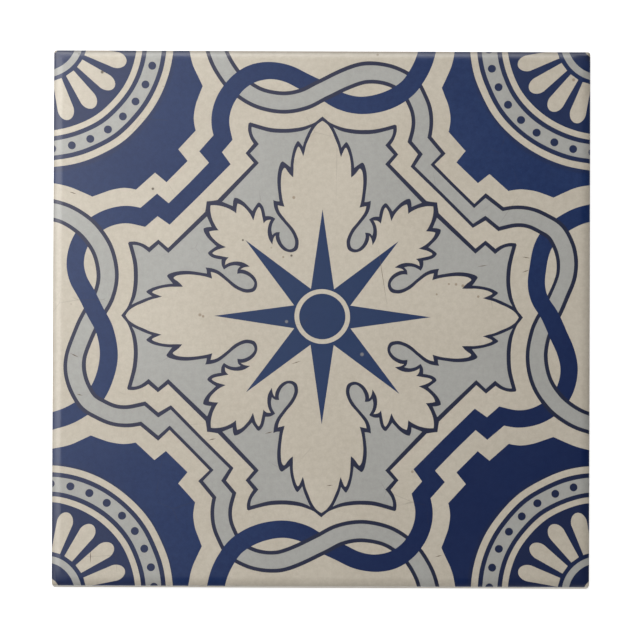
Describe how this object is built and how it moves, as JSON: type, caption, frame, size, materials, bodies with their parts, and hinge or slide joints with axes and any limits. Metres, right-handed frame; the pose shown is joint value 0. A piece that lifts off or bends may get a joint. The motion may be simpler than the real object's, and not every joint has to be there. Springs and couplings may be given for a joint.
{
  "type": "azulejo tile",
  "caption": "Square glazed ceramic wall tile with cushioned edges, a keyed waffle back and blue and cream azulejo ornament on its face.",
  "frame": {"origin": "middle of the keyed back, on the plane of the back ribs", "axes": "+Z out through the glazed face, +X to the right and +Y to the top of the decoration as the picture shows it"},
  "size_m": [0.15, 0.15, 0.008],
  "materials": {
    "glazed_tile": "glossy cream glaze painted in cobalt blue and pale grey-blue, over a pale biscuit body left bare on the sides and back"
  },
  "bodies": {
    "root": {"tile": "glazed_tile"}
  },
  "joints": []
}
